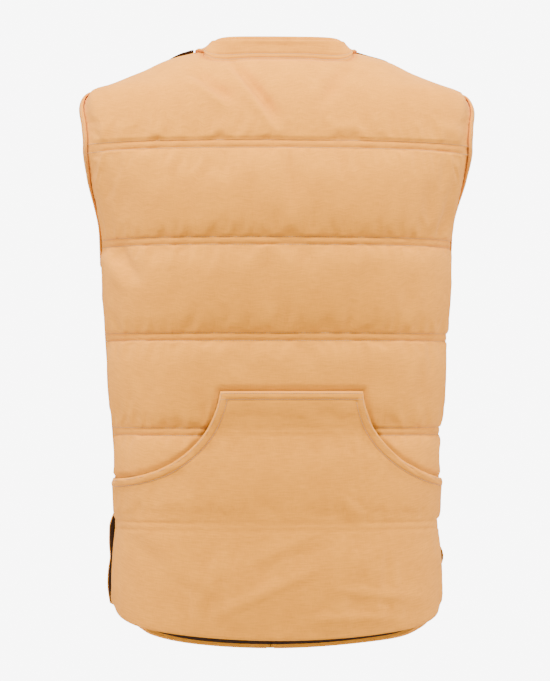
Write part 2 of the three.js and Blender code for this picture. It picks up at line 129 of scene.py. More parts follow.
def vent_stand(angle, z):
    """How far the front stands out in the side vents: pinched on the left, bent out on the right."""
    bend = np.exp(-(((z + 563 * MM) / (11 * MM)) ** 2))
    stand = np.where(angle < 0, vent_flare[LEFT] * (1 - 0.25 * bend), vent_flare[RIGHT] + 5.8 * MM * bend)
    down = smooth(-z, -vent_top, -vent_wide) * (1 - smooth(-z, 590 * MM, 640 * MM))
    return stand * down * smooth(np.abs(angle), QUARTER / 2, QUARTER)


def skin(side, angle, z):
    """Points on the body side of the vest and the way out from them."""
    facing = -1 if side == BACK else 1

    def at(turn, level):
        wide = form_at(HALF_WIDTH, level)
        if side == FRONT:
            wide = wide + vent_stand(angle, level)
        deep = facing * form_at(side, level) * np.cos(turn) * (1 + flatness * np.sin(turn) ** 2)
        return np.stack([wide * np.sin(turn), deep, level + 0 * turn], axis=-1)

    across = at(angle + 0.01, z) - at(angle - 0.01, z)
    up = at(angle, z + MM) - at(angle, z - MM)
    out = -facing * np.cross(across, up)
    return at(angle, z), out / np.linalg.norm(out, axis=-1, keepdims=True)


def lifted(side, angle, z, lift):
    point, out = skin(side, angle, z)
    return point + out * np.asarray(lift)[..., None]


def hem_at(side, angle):
    """Level of the hem: a long bow with rounded corners. The front hangs lower, a little askew."""
    turn = np.sin(angle) - hem_askew[side]
    across = np.minimum(np.abs(turn) / (1 - hem_askew[side] * np.sign(turn)), 1)
    corner = np.where(turn < 0, *hem_corner[side])
    drop = hem_drop[side] * (1 - hem_bow * across**2 - (1 - hem_bow) * across**corner)
    return hem_side[side] - drop + hem_tuck[side] * smooth(-turn, 0.82, 1.04)


def neck_level(angle):
    """Level of the back's neck edge: lowest on both sides of the middle, up at the shoulder seams."""
    turn = np.degrees(np.abs(angle))
    return -(neck_drop + 4 * MM * smooth(turn, 12, 36)) * (1 - smooth(turn, 20, 70))


def level_of(side, rise, angle, top):
    """Rise runs from -1 at the hem to 0 below the quilting, 1 above it and 2 at the top edge."""
    below = mix(hem_start, hem_at(side, angle), -rise)
    beside = mix(hem_start, yoke_start, rise)
    above = mix(yoke_start, top, rise - 1)
    return np.where(rise < 0, below, np.where(rise > 1, above, beside))


def back_place(share, rise):
    """Share runs from -1 at the left edge of the back to 1 at the right one."""
    def level(angle):
        return level_of(BACK, rise, angle, neck_level(angle))

    z = level(share * QUARTER)
    slit = vent_slit[BACK] * (1 - smooth(z, vent_full, vent_top)) / form_at(BACK, z)
    angle = share * (edge_angle(BACK, z) - seam - slit)
    return angle, level(angle)


def puff(z, hem, ceiling):
    """How full the wadding is: 0 on a stitched row, 1 a little below the middle of a channel."""
    full = np.zeros_like(z)
    highs = [ceiling, *(quilt_lines - row_gap / 2)]
    lows = [*(quilt_lines + row_gap / 2), hem]
    for low, high in zip(lows, highs):
        share = np.clip((z - low) / np.maximum(high - low, 1e-9), 0, 1) ** 0.85
        full = np.maximum(full, np.clip(4 * share * (1 - share), 0, 1) ** 0.6)
    return full


def strip(z):
    """The low ridge between the two rows of a pair, and the narrow groove of each row."""
    away = np.abs(z[..., None] - quilt_lines).min(axis=-1)
    ridge = np.clip(1 - (2 * away / row_gap) ** 2, 0, 1)
    groove = np.exp(-(((away - row_gap / 2) / (1.3 * MM)) ** 2))
    return 0.7 * MM * ridge - 0.6 * MM * groove


def folds(creases, x, z):
    """Soft creases, each a dent with a ridge along one side: two ends, half width and depth in mm."""
    depth = np.zeros_like(x)
    for from_x, from_z, to_x, to_z, half_width, deep in MM * np.array(creases):
        along = np.array([to_x - from_x, to_z - from_z])
        share = ((x - from_x) * along[0] + (z - from_z) * along[1]) / (along @ along)
        away = ((x - from_x) * along[1] - (z - from_z) * along[0]) / np.linalg.norm(along)
        ends = smooth(share, -0.25, 0.25) * (1 - smooth(share, 0.7, 1.25))
        dent = np.exp(-((away / half_width) ** 2))
        ridge = np.exp(-(((away - 1.7 * half_width) / half_width) ** 2))
        depth += deep * ends * (dent - 0.5 * ridge)
    return depth


back_creases = [
    (-48, -18, -6, -74, 6.5, 7.0),
    (76, -16, 46, -60, 7, 4.0),
    (-92, -28, -54, -56, 6.5, 6.0),
    (-174, -214, -152, -252, 8, 4.0),
    (184, -168, 170, -200, 7, 4.0),
    (-116, -128, -92, -190, 9, 1.4),
    (100, -232, 74, -300, 12, 1.6),
    (-56, -330, -26, -360, 10, 1.6),
]


def neck_lift(side, angle, z):
    """The padding stands up towards the neck beside the shoulder seams."""
    beside_seam = smooth(np.abs(angle), math.radians(56), math.radians(82))
    return neck_stand[side] * beside_seam * smooth(z, -16 * MM, MM)


# The upper edge of the pocket, which is sewn onto the back and presses into it.
pocket_top, pocket_aside = -374 * MM, 11 * MM
mouth_x, mouth_z, mouth_lower, mouth_radius = 186 * MM, -362 * MM, 3 * MM, 110 * MM


def from_pocket_edge(x, z):
    """How far a point lies inside the pocket's upper edge."""
    mouth = np.hypot(np.abs(x - pocket_aside) - mouth_x, z - mouth_z + mouth_lower * (x > pocket_aside))
    return np.minimum(pocket_top - z, mouth - mouth_radius)


def back_height(angle, z):
    """Outer face of the back above its body side, before the cloth settles."""
    edge = edge_angle(BACK, z)
    inside = 1 - smooth(np.abs(angle), edge - math.radians(12), edge - math.radians(2))
    x = form_at(HALF_WIDTH, z) * np.sin(angle)
    full = puff(z, hem_at(BACK, angle), neck_level(angle))
    height = mix(stitched, padded, full) + strip(z) - folds(back_creases, x, z)
    height = height - 3 * MM * np.exp(-(((from_pocket_edge(x, z) + 1 * MM) / (2.4 * MM)) ** 2))
    return mix(edge_thick, np.maximum(height, 2.8 * MM), inside) + neck_lift(BACK, angle, z)


def quilted_rises(per_channel, per_strip, per_end):
    """Rows of a panel from hem to top, closer together beside the stitches."""
    even = np.arange(per_channel) / per_channel
    eased = 0.5 * even + 0.25 * (1 - np.cos(math.pi * even))
    rises = [np.arange(-per_end, 0) / per_end]
    whole = yoke_start - hem_start
    for line in quilt_lines[::-1]:
        low = line - row_gap / 2
        rises.append((low + row_gap * np.arange(per_strip) / per_strip - hem_start) / whole)
        if line != quilt_lines[0]:
            top = line + row_gap / 2
            rises.append((top + (row_pitch * MM - row_gap) * eased - hem_start) / whole)
    rises.append(1 + np.arange(per_end + 1) / per_end)
    return np.concatenate(rises)


def points_of(mesh):
    flat = np.empty(len(mesh.vertices) * 3, np.float32)
    mesh.vertices.foreach_get("co", flat)
    return flat.reshape(-1, 3).astype(float)


def cloth_grid(name, columns, rows, place, closed=False):
    """A grid of cloth with its vertices sent to their places, and a UV map of its threads in metres."""
    bm = bmesh.new()
    bmesh.ops.create_grid(bm, x_segments=len(columns) - 1, y_segments=len(rows) - 1, size=0.5)
    mesh = bpy.data.meshes.new(name)
    bm.to_mesh(mesh)
    flat = points_of(mesh)
    column = np.rint((flat[:, 0] + 0.5) * (len(columns) - 1)).astype(int)
    row = np.rint((flat[:, 1] + 0.5) * (len(rows) - 1)).astype(int)
    points = place(columns[column], rows[row])
    laid = np.zeros((len(rows), len(columns), 3))
    laid[row, column] = points
    across = np.zeros(laid.shape[:2])
    across[:, 1:] = np.cumsum(np.linalg.norm(np.diff(laid, axis=1), axis=-1), axis=1)
    across -= across[:, len(columns) // 2][:, None]
    up = np.zeros(laid.shape[:2])
    up[1:] = np.cumsum(np.linalg.norm(np.diff(laid, axis=0), axis=-1), axis=0)
    threads = np.stack([across[row, column], up[row, column]], axis=-1)
    corner = np.empty(len(mesh.loops), int)
    mesh.loops.foreach_get("vertex_index", corner)
    mesh.uv_layers.new(name="threads").data.foreach_set("uv", threads[corner].ravel())
    mesh.vertices.foreach_set("co", points.ravel())
    bm.free()
    if closed:
        bm = bmesh.new()
        bm.from_mesh(mesh)
        bmesh.ops.remove_doubles(bm, verts=bm.verts[:], dist=1e-6)
        bm.to_mesh(mesh)
        bm.free()
    mesh.shade_smooth()
    mesh.update()
    piece = bpy.data.objects.new(name, mesh)
    scene.collection.objects.link(piece)
    return piece


def settle(piece, sewn, outs, slack, press, cap, across=1, soften=0, frames=18):
    """Lets the cloth find its own shape, held where it is sewn and pressed out by what lies under it."""
    start = points_of(piece.data)
    held = piece.vertex_groups.new(name="sewn")
    steps = np.round(sewn, 2)
    for share in np.unique(steps[steps > 0]):
        held.add(np.flatnonzero(steps == share).tolist(), float(share), "REPLACE")
    modifier = piece.modifiers.new("settling", "CLOTH")
    cloth = modifier.settings
    cloth.quality = 6
    cloth.mass = 0.2
    cloth.tension_stiffness = cloth.compression_stiffness = 25
    cloth.shear_stiffness = 12
    cloth.bending_stiffness = 1.2
    cloth.tension_damping = cloth.compression_damping = 12
    cloth.vertex_group_mass = "sewn"
    cloth.shrink_min = -slack
    cloth.use_pressure = press > 0
    cloth.uniform_pressure_force = press
    cloth.effector_weights.gravity = 0
    modifier.collision_settings.use_collision = False
    modifier.point_cache.frame_end = frames
    for number in range(1, frames + 1):
        scene.frame_set(number)
    settled = piece.evaluated_get(bpy.context.evaluated_depsgraph_get())
    moved = points_of(settled.data) - start
    piece.modifiers.remove(modifier)
    piece.vertex_groups.clear()
    scene.frame_set(1)
    sunk = np.minimum((moved * outs).sum(axis=1) + 0.4 * MM, 0)
    moved -= outs * sunk[:, None]
    far = np.linalg.norm(moved, axis=1, keepdims=True)
    moved *= cap * np.tanh(far / cap) / np.maximum(far, 1e-9)
    for step in range(soften):
        wide = np.pad(moved.reshape(-1, across, 3), ((1, 1), (1, 1), (0, 0)), mode="edge")
        beside = wide[1:-1, :-2] + wide[1:-1, 2:] + wide[:-2, 1:-1] + wide[2:, 1:-1]
        moved = (0.2 * (wide[1:-1, 1:-1] + beside)).reshape(-1, 3)
    piece.data.vertices.foreach_set("co", (start + moved).ravel())
    piece.data.update()


def thicken(piece, thickness):
    wall = piece.modifiers.new("wall", "SOLIDIFY")
    wall.thickness = thickness
    wall.offset = -1


class Shade:
    """A shader socket. Sums on it add Math nodes, and node() adds any other node."""

    def __init__(self, tree, socket=None):
        self.tree = tree
        self.socket = socket

    def node(self, kind, settings, inputs, outlet=0):
        made = self.tree.nodes.new(kind)
        for name, value in settings.items():
            setattr(made, name, value)
        for name, value in inputs.items():
            if isinstance(value, Shade):
                self.tree.links.new(value.socket, made.inputs[name])
            else:
                made.inputs[name].default_value = value
        return Shade(self.tree, made.outputs[outlet])

    def sum(self, operation, first, second):
        return self.node("ShaderNodeMath", {"operation": operation}, {0: first, 1: second})

    def __add__(self, other):
        return self.sum("ADD", self, other)

    __radd__ = __add__

    def __rsub__(self, other):
        return self.sum("SUBTRACT", other, self)

    def __mul__(self, other):
        return self.sum("MULTIPLY", self, other)

    __rmul__ = __mul__

    def wave(self):
        return self.sum("SINE", self, 0)

    def stretched(self, across, up, detail=2):
        """Noise drawn out along one direction of the cloth."""
        scaled = self.node("ShaderNodeVectorMath", {"operation": "MULTIPLY"},
                           {0: self, 1: (across, up, 1)})
        return self.node("ShaderNodeTexNoise", {"noise_dimensions": "2D"},
                         {"Vector": scaled, "Scale": 1, "Detail": detail})

    def blend(self, first, second):
        """One colour where this is 0 and another where it is 1."""
        return self.node("ShaderNodeMix", {"data_type": "RGBA"},
                         {"Factor": self, "A": first, "B": second}, outlet=2)


def woven(name, light, dark, pitch, sheen, rough, relief_share):
    """Plain-weave cotton: threads over and under, thick and thin, unevenly dyed, rubbed on ridges, with
    painted shade where relief is below 0.
    """
    material = bpy.data.materials.new(name)
    material.use_nodes = True
    tree = material.node_tree
    start = Shade(tree)
    shader = tree.nodes["Principled BSDF"]
    uv = start.node("ShaderNodeUVMap", {"uv_map": "threads"}, {})
    u = start.node("ShaderNodeSeparateXYZ", {}, {"Vector": uv}, outlet=0)
    v = start.node("ShaderNodeSeparateXYZ", {}, {"Vector": uv}, outlet=1)
    turn = math.pi / (pitch * MM)
    over = (u * turn).wave() * (v * turn).wave() * 0.5 + 0.5
    slub_up = uv.stretched(1100, 120)
    slub_across = uv.stretched(70, 640)
    cloud = uv.stretched(38, 38, detail=4)
    fuzz = uv.stretched(2600, 2600, detail=1)
    relief = start.node("ShaderNodeAttribute", {"attribute_name": "relief"}, {}, outlet=2)
    tone = slub_up * 0.3 + slub_across * 0.5 + cloud * 0.26 + over * 0.12 + relief * relief_share
    tone = start.node("ShaderNodeMapRange", {}, {"Value": tone, "From Min": 0.35, "From Max": 0.95})
    # Painted shade: where the relief attribute falls below 0, the colour goes towards a dark shadow brown
    # that stands in for shade in crevices.
    painted_crevice_shade = start.node("ShaderNodeMapRange", {}, {"Value": relief, "From Min": 0, "From Max": -1})
    shadow = 0.1, 0.05, 0.024
    colour = painted_crevice_shade.blend(tone.blend((*dark, 1), (*light, 1)), (*shadow, 1))
    tree.links.new(colour.socket, shader.inputs["Base Color"])
    gloss = rough + 0.08 * (1 - slub_across)
    tree.links.new(gloss.socket, shader.inputs["Roughness"])
    height = over * 0.5 + slub_up * 0.4 + slub_across * 0.5 + fuzz * 0.25
    bump = start.node("ShaderNodeBump", {}, {"Height": height, "Strength": 0.55, "Distance": 0.3 * MM})
    tree.links.new(bump.socket, shader.inputs["Normal"])
    shader.inputs["Sheen Weight"].default_value = sheen
    shader.inputs["Sheen Roughness"].default_value = 0.55
    shader.inputs["Specular IOR Level"].default_value = 0.12
    return material


duck_canvas = woven("duck_canvas", light=(0.9, 0.345, 0.022), dark=(0.66, 0.231, 0.012), pitch=0.85,
                    sheen=0.08, rough=0.86, relief_share=0.14)


def dress(piece, material, slot, *nodes):
    """Gives a finished piece its cloth and puts it in place of its CAD nodes."""
    piece.data.materials.append(material)
    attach(piece, "root")
    if nodes:
        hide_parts(*nodes)


def mark_relief(piece, values):
    piece.data.attributes.new("relief", "FLOAT", "POINT").data.foreach_set("value", values)


def ripple(along, across, wave, seed):
    """Slow unevenness of sewn cloth, from -1 to 1."""
    return np.array([noise.noise(Vector((a / wave, b / wave, seed))) for a, b in zip(along, across)])


def puckers(x, z, full, seed):
    """Short gathers beside the stitched rows and long soft waves where the wadding is full."""
    away = np.abs(np.abs(z[:, None] - quilt_lines) - row_gap / 2).min(axis=1)
    beside = np.exp(-away / (11 * MM)) * (1 - np.exp(-away / (2 * MM)))
    gathers = ripple(x, 0.22 * z, 0.0085, seed) + 0.6 * ripple(x, 0.3 * z, 0.019, seed + 4)
    waves = ripple(x, 0.45 * z, 0.034, seed + 9)
    return MM * (1.5 * beside * gathers + 1.1 * full * waves)


back_columns = np.linspace(-1, 1, 199)
panel_rises = quilted_rises(per_channel=33, per_strip=6, per_end=33)


def over_panel(columns):
    """Share and rise of every vertex of a panel's grid."""
    return (grid.ravel() for grid in np.meshgrid(columns, panel_rises))


share_of, rise_of = over_panel(back_columns)
angle, z = back_place(share_of, rise_of)
back_body, back_out = skin(BACK, angle, z)
back_full = puff(z, hem_at(BACK, angle), neck_level(angle))
back_raised = back_height(angle, z) - neck_lift(BACK, angle, z) - edge_thick
back_flat = np.clip(1 - np.minimum(back_full / 0.2, np.abs(back_raised) / MM), 0, 1)


def back_cloth(share, rise):
    angle, z = back_place(share, rise)
    full = puff(z, hem_at(BACK, angle), neck_level(angle)) * (1 - smooth(np.abs(share), 0.9, 0.985))
    height = back_height(angle, z) + puckers(form_at(HALF_WIDTH, z) * np.sin(angle), z, full, 1.0)
    rolled = smooth(rise, -1, -0.97)
    return lifted(BACK, angle, z, mix(hem_roll, height, rolled))


back_panel = cloth_grid("padded_back", back_columns, panel_rises, back_cloth)
x = form_at(HALF_WIDTH, z) * np.sin(angle)
# Painted shade: the relief falls below 0 along the inner edge of each armhole binding and round and under
# the pocket's upper edge and mouths, so the cloth is tinted towards the shadow colour there. Elsewhere the
# relief rises over the padding and is 0 on the stitched rows.
from_binding = (edge_angle(BACK, z) - np.abs(angle)) * form_at(HALF_WIDTH, z) - 4.8 * MM
shaded = 0.9 * np.exp(-((from_binding / (2 * MM)) ** 2))
shaded = shaded * smooth(z, armhole_bottom, armhole_bottom + 12 * MM)
shaded = np.maximum(shaded, np.exp(-((np.minimum(from_pocket_edge(x, z), 0) / (1.8 * MM)) ** 2)))
mark_relief(back_panel, (2 * back_full * (1 - back_full) + 0.6 * (1 - back_flat)) * (1 - shaded) - shaded)
back_held = np.maximum(back_flat, smooth(z, -90 * MM, -42 * MM))
settle(back_panel, back_held, back_out, slack=0.02, press=0.25, cap=3 * MM)
back_settled = ((points_of(back_panel.data) - back_body) * back_out).sum(axis=1)
back_settled = back_settled.reshape(len(panel_rises), len(back_columns))
thicken(back_panel, panel_wall)
dress(back_panel, duck_canvas, "duck_canvas", "back_panel")

# Front panels: the two padded fronts, cut and quilted like the back, from the centre zip to the side
# seams. Above the quilting the yoke rows fan out between the neckline and the armhole.

zip_gap = 4.6 * MM
neck_front = -99.8 * MM


def front_place(share, rise, hand):
    """Share runs from 0 at the zip and neckline to 1 at the side, armhole and shoulder."""
    yoke = np.clip(rise - 1, 0, 1)
    in_yoke = rise > 1
    sweep = QUARTER * (1 - (1 - yoke) ** 1.7)
    inner_x = mix(zip_gap, form_at(HALF_WIDTH, 0), np.sin(sweep))
    inner_z = np.where(in_yoke, neck_front * np.cos(sweep), level_of(FRONT, rise, 0 * rise, yoke_start))
    outer_z = np.where(in_yoke, mix(yoke_start, armhole_top, yoke),
                       level_of(FRONT, rise, hand * QUARTER + 0 * rise, yoke_start))
    slit = vent_slit[FRONT] * (1 - smooth(outer_z, vent_full, vent_top)) / form_at(FRONT, outer_z)
    inner = np.arcsin(np.clip(inner_x / form_at(HALF_WIDTH, inner_z), -1, 1))
    inner = np.minimum(inner, QUARTER - seam)
    angle = mix(inner, edge_angle(FRONT, outer_z) - seam - slit, share)
    z = np.where(in_yoke, mix(inner_z, outer_z, share), level_of(FRONT, rise, hand * angle, yoke_start))
    return angle, z


def front_full(share, rise, hand):
    angle, z = front_place(share, rise, hand)
    yoke = np.clip(rise - 1, 0, 1)
    below = puff(z, hem_at(FRONT, hand * angle), yoke_start)
    full = np.where(rise > 1, np.sqrt(4 * yoke * (1 - yoke)), below)
    return full * smooth(share, 0.06, 0.22) * (1 - smooth(share, 0.82, 0.93))


def front_height(share, rise, hand):
    angle, z = front_place(share, rise, hand)
    inside = smooth(share, 0.06, 0.14) * (1 - smooth(share, 0.86, 0.93))
    height = mix(stitched, padded, front_full(share, rise, hand)) + strip(z) * inside
    return height + neck_lift(FRONT, angle, z)


def handed(columns, hand):
    """Columns of a front piece, turned for one hand so that its faces point outwards."""
    return columns[::-1] if hand == RIGHT else columns


def front_grid(name, hand, columns, rises, lift):
    def place(share, rise):
        angle, z = front_place(share, rise, hand)
        return lifted(FRONT, hand * angle, z, lift(share, rise, hand))

    return cloth_grid(name, handed(columns, hand), rises, place)


def front_outer(share, rise, hand):
    angle, z = front_place(share, rise, hand)
    uneven = puckers(form_at(HALF_WIDTH, z) * np.sin(angle), z, front_full(share, rise, hand), 5.0)
    uneven *= smooth(share, 0.05, 0.14) * (1 - smooth(share, 0.84, 0.93)) * (1 - smooth(rise, 1, 1.1))
    return mix(hem_roll, front_height(share, rise, hand) + uneven, smooth(rise, -1, -0.97))


front_columns = np.linspace(0, 1, 96)
sides = {"left": LEFT, "right": RIGHT}
for side_name, hand in sides.items():
    panel = front_grid(f"padded_front_{side_name}", hand, front_columns, panel_rises, front_outer)
    share_of, rise_of = over_panel(handed(front_columns, hand))
    full = front_full(share_of, rise_of, hand)
    sewn = np.clip(1 - full / 0.2, 0, 1)
    mark_relief(panel, 2 * full * (1 - full) + 0.6 * (1 - sewn))
    angle, z = front_place(share_of, rise_of, hand)
    held = np.maximum(sewn, 0.9 * smooth(rise_of, 1.35, 1.6))
    settle(panel, held, skin(FRONT, hand * angle, z)[1], slack=0.02, press=0.25, cap=3 * MM)
    thicken(panel, panel_wall)
    dress(panel, duck_canvas, "duck_canvas", f"front_panel_{side_name}")

# Quilting thread: tan lockstitches sunk into the duck along both rows of every quilted pair, on the back
# and on each front. Each stitch is one short length of thread between two needle holes.

thread = woven("tan_thread", light=(0.74, 0.43, 0.2), dark=(0.5, 0.27, 0.115), pitch=0.3, sheen=0.1,
               rough=0.62, relief_share=0)

edge_pitch = 2.9 * MM
one_stitch = bpy.data.meshes.new("one_stitch")
bm = bmesh.new()
bm.loops.layers.uv.new("threads")
bmesh.ops.create_uvsphere(bm, u_segments=6, v_segments=4, radius=1, calc_uvs=True)
bm.to_mesh(one_stitch)
bm.free()


def sew(name, seams, pitch=3.2 * MM, thick=0.42 * MM):
    """Rows of stitches: each seam is a line of points with the way out of the cloth at each."""
    bm = bmesh.new()
    for points, outs in seams:
        steps = np.linalg.norm(np.diff(points, axis=0), axis=1)
        along = np.concatenate([[0], np.cumsum(steps)])
        count = max(2, int(along[-1] / pitch))
        ends = np.linspace(0, along[-1], count + 1)
        at = np.stack([np.interp(ends, along, points[:, k]) for k in range(3)], axis=-1)
        out = np.stack([np.interp(ends, along, outs[:, k]) for k in range(3)], axis=-1)
        for first, last, away in zip(at[:-1], at[1:], out[:-1]):
            run = Vector(last - first)
            far = run.length
            run.normalize()
            away = Vector(away)
            aside = away.cross(run).normalized()
            away = run.cross(aside)
            turned = Matrix((aside * thick, away * thick * 0.8, run * far * 0.46)).transposed().to_4x4()
            turned.translation = Vector((first + last) / 2) + away * thick * 0.25
            one_stitch.transform(turned)
            bm.from_mesh(one_stitch)
            one_stitch.transform(turned.inverted())
    mesh = bpy.data.meshes.new(name)
    bm.to_mesh(mesh)
    bm.free()
    mesh.shade_smooth()
    piece = bpy.data.objects.new(name, mesh)
    scene.collection.objects.link(piece)
    dress(piece, thread, "duck_canvas")


def seam_on(side, angle, z, lift):
    point, out = skin(side, angle, z)
    return point + out * np.asarray(lift)[..., None], out


rise_of_row = [(line + half * row_gap / 2 - hem_start) / (yoke_start - hem_start)
               for line in quilt_lines for half in (-1, 1)]
across = np.linspace(-0.985, 0.985, 260)
back_rows = []
for rise in rise_of_row:
    angle, z = back_place(across, 0 * across + rise)
    back_rows.append(seam_on(BACK, angle, z, back_height(angle, z)))
sew("quilting_back", back_rows)

across = np.linspace(0.03, 0.985, 160)
for side_name, hand in sides.items():
    rows = []
    for rise in rise_of_row:
        angle, z = front_place(across, 0 * across + rise, hand)
        lift = front_height(across, 0 * across + rise, hand)
        rows.append(seam_on(FRONT, hand * angle, z, lift))
    sew(f"quilting_front_{side_name}", rows)

# Lining: thin dark brown cloth inside the back and the fronts, caught down with the quilting and loose
# between the rows. It stops short of the neck and armhole edges and of the tan facing at the hem.

lining_cloth = woven("lining_cloth", light=(0.05, 0.024, 0.012), dark=(0.026, 0.012, 0.006), pitch=0.5,
                     sheen=0, rough=0.9, relief_share=0.1)
lining_thick, facing_height = 1.2 * MM, 6.4 * MM
behind_zip = -0.0155


def lining_rises(per_channel, per_end):
    rises = quilted_rises(per_channel, 2, per_end)
    return rises[rises < 1.96]


def hem_rise(side, share, up):
    """Rise of a line that runs along the hem at a height above it."""
    return -1 + up / (hem_start - hem_at(side, share * QUARTER))


def lining_lift(z, full, hem):
    """Loose over the wadding and at the top, and lapped over the facing at the hem."""
    loose = 1.6 * MM * smooth(z, -0.3, armhole_bottom)
    lapped = 1.4 * MM * (1 - smooth(z - hem, facing_height, facing_height + 9 * MM))
    return -0.7 * MM - loose - 3 * MM * full - lapped


def cut_back(share, rise, edge):
    """Keeps the lining off the armhole edge."""
    z = mix(hem_start, yoke_start, rise)
    return np.where(z > armhole_bottom - MM, np.clip(share, -edge, edge), share)


def back_lining_cloth(share, rise):
    rise = np.maximum(rise, hem_rise(BACK, share, facing_height - MM))
    angle, z = back_place(cut_back(share, rise, 0.95), rise)
    full = puff(z, hem_at(BACK, angle), neck_level(angle)) * (1 - smooth(abs(share), 0.8, 0.95))
    return lifted(BACK, angle, z, lining_lift(z, full, hem_at(BACK, angle)))


def lining_ends(piece, width, length, area, *nodes):
    thicken(piece, lining_thick)
    dress(piece, lining_cloth, "lining_cloth", *nodes)


back_lining = cloth_grid("lining_back", np.linspace(-1, 1, 61), lining_rises(12, 10), back_lining_cloth)
lining_ends(back_lining, 0.56, 0.66, 0.31, "back_lining")

for side_name, hand in sides.items():
    def place(share, rise):
        rise = np.maximum(rise, hem_rise(FRONT, hand * share, facing_height - MM))
        angle, z = front_place(cut_back(share, rise, 0.93), rise, hand)
        lift = lining_lift(z, front_full(share, rise, hand), hem_at(FRONT, hand * angle))
        return lifted(FRONT, hand * angle, z, lift)

    columns = handed(np.linspace(behind_zip, 1, 33), hand)
    lining = cloth_grid(f"lining_front_{side_name}", columns, lining_rises(12, 10), place)
    lining_ends(lining, 0.30, 0.66, 0.16, f"front_lining_{side_name}")

# Hem facings: strips of the tan duck turned up inside the hem of the back and of each front, felled to
# the lining along their upper edge.

facing_cloth = 1.2 * MM
facing_ups = np.linspace(MM, facing_height, 6)


def back_facing_cloth(share, up):
    angle, z = back_place(share, hem_rise(BACK, share, up))
    return lifted(BACK, angle, z, 0 * z - 0.4 * MM)


facing = cloth_grid("hem_facing", np.linspace(-1, 1, 121), facing_ups, back_facing_cloth)
thicken(facing, facing_cloth)
dress(facing, duck_canvas, "duck_canvas", "hem_facing_back")
for side_name, hand in sides.items():
    def place(share, up):
        angle, z = front_place(share, hem_rise(FRONT, hand * share, up), hand)
        return lifted(FRONT, hand * angle, z, 0 * z - 0.4 * MM)

    columns = handed(np.linspace(behind_zip, 1, 61), hand)
    facing = cloth_grid(f"hem_facing_{side_name}", columns, facing_ups, place)
    thicken(facing, facing_cloth)
    dress(facing, duck_canvas, "duck_canvas", f"hem_facing_front_{side_name}")

# Collar: a low stand band of two layers of duck round the neck, sewn to the neck edge with a double row.
# The inner layer stands a little higher than the outer one and shows above it at the back.

collar_height, collar_thick, collar_facing_thick, collar_proud = 30.5 * MM, 3 * MM, 1.8 * MM, 4 * MM
collar_lean = {BACK: 12, FRONT: 10, "side": 46}
neck_turn = 0.42


def neck_line(turn):
    """Points of the neck seam: turn is -1 at the left of the zip, 0 at the back and 1 at the right."""
    hand = np.sign(turn)
    far = np.abs(turn)
    back_angle, back_z = back_place(turn / neck_turn, 0 * turn + 2)
    front_angle, front_z = front_place(0 * turn, 2 - np.clip((far - neck_turn) / (1 - neck_turn), 0, 1),
                                       RIGHT)
    behind = far <= neck_turn
    back_point, back_out = skin(BACK, back_angle, back_z)
    front_point, front_out = skin(FRONT, hand * front_angle, front_z)
    point = np.where(behind[:, None], back_point, front_point)
    out = np.where(behind[:, None], back_out, front_out)
    return behind, point, out


def beside_neck(point):
    """0 in the middle of the back or front, 1 at the shoulder seams."""
    return np.clip(np.abs(point[:, 0]) / form_at(HALF_WIDTH, 0), 0, 1)


def collar_points(turn, up, out_from):
    """Points of the collar and the way out of it: it leans in most beside the neck and is level behind."""
    behind, point, out = neck_line(turn)
    aside = beside_neck(point)
    lean = np.where(behind, collar_lean[BACK], collar_lean[FRONT])
    lean = np.radians(mix(lean, collar_lean["side"], aside**6))
    far = np.abs(turn)
    in_front = 90 + 80 * (far - neck_turn) / (1 - neck_turn)
    turned = np.radians(np.where(behind, 90 * far / neck_turn, in_front))
    level = np.stack([-np.sign(turn) * np.sin(turned), np.cos(turned), 0 * turn], axis=-1)
    rise = level * np.sin(lean)[:, None]
    rise[:, 2] = np.cos(lean)
    upright = -level * np.cos(lean)[:, None]
    upright[:, 2] = np.sin(lean)
    thick = mix(out, upright, smooth(up, 0, 9 * MM)[:, None])
    thick /= np.linalg.norm(thick, axis=-1, keepdims=True)
    top = mix(21 * MM, 18 * MM, aside**8)
    to_top = (top - point[:, 2]) / (collar_height * np.cos(lean))
    taller = np.where(behind, to_top, 1 - 0.15 * smooth(aside, 0.75, 1))
    return point + rise * (up * taller)[:, None] + thick * np.asarray(out_from)[:, None], thick


collar_rows_up = 2.8 * MM, 9 * MM


def band_out(turn, up):
    """Outer face of the band: dips on its two stitched rows and a turned top edge."""
    dips = sum(np.exp(-(((up - row) / (1.3 * MM)) ** 2)) for row in collar_rows_up)
    top = collar_height - collar_proud
    rolled = np.sqrt(np.clip(1 - (np.clip(up - top + 2.5 * MM, 0, None) / (2.6 * MM)) ** 2, 0, 1))
    uneven = 0.5 * MM * ripple(turn * 0.33, up, 0.02, 3.0)
    spread = 6 * MM * beside_neck(neck_line(turn)[1]) ** 8
    spread = spread * (1 - smooth(np.abs(turn), neck_turn, neck_turn + 0.06))
    spread = spread * smooth(up, -3 * MM, 2 * MM) * (1 - smooth(up, 4 * MM, 24 * MM))
    spread = spread + 1.4 * MM * np.exp(-((turn / 0.09) ** 2)) * smooth(up, top - 9 * MM, top)
    thick = collar_thick * (0.35 + 0.65 * rolled) - 0.8 * MM * dips
    return collar_facing_thick + 0.4 * MM + thick + uneven + spread


def collar_cloth(turn, up):
    """The band's top edge dips in the middle and shows the inner layer there."""
    near_top = smooth(up, collar_height - 15 * MM, collar_height - collar_proud)
    dip = 1.6 * MM * np.exp(-((turn / 0.11) ** 2)) * near_top
    return collar_points(turn, up - dip, band_out(turn, up))[0]


def collar_facing_cloth(turn, up):
    """The inner layer is level with the band beside the shoulder seams."""
    up = up * (1 - 0.13 * beside_neck(neck_line(turn)[1]) ** 6)
    rolled = np.sqrt(np.clip(1 - (np.clip(up - collar_height + 1.5 * MM, 0, None) / (1.6 * MM)) ** 2, 0, 1))
    return collar_points(turn, up, collar_facing_thick * rolled)[0]


